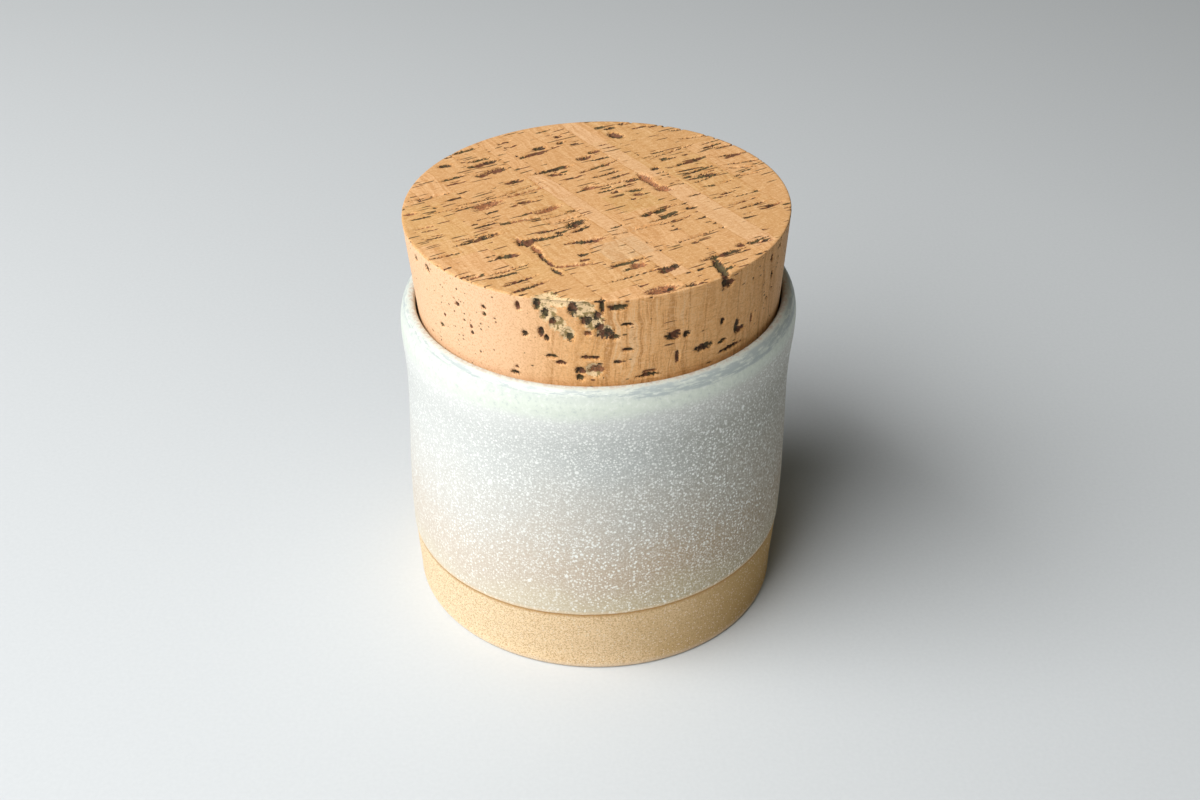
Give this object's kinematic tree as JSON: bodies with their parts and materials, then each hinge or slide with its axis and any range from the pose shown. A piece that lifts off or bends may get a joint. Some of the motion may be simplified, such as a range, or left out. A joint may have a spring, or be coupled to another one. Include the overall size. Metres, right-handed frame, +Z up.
{
  "type": "stoneware salt jar with cork stopper",
  "caption": "Round hand-thrown stoneware salt jar, pale speckled glaze over a bare clay foot, shut by a broad tapered cork stopper; stands on its flat foot.",
  "frame": {"origin": "middle of the foot, on the surface that the jar stands on", "axes": "+Z up along the jar's turning axis; -Y is the jar's front; the hand-thrown lip rises by 1.75 degrees towards +X, and the cork stands square in it, so its top leans towards -X"},
  "size_m": [0.1, 0.1, 0.1101],
  "materials": {
    "glazed_stoneware": "satin pale grey-white glaze with fine specks over warm clay",
    "bare_clay": "matte unglazed buff clay with fine speckle",
    "cork": "matte natural cork, laminated, with dark pores"
  },
  "bodies": {
    "root": {"stoneware_jar": "glazed_stoneware", "cork_stopper": "cork"}
  },
  "joints": []
}
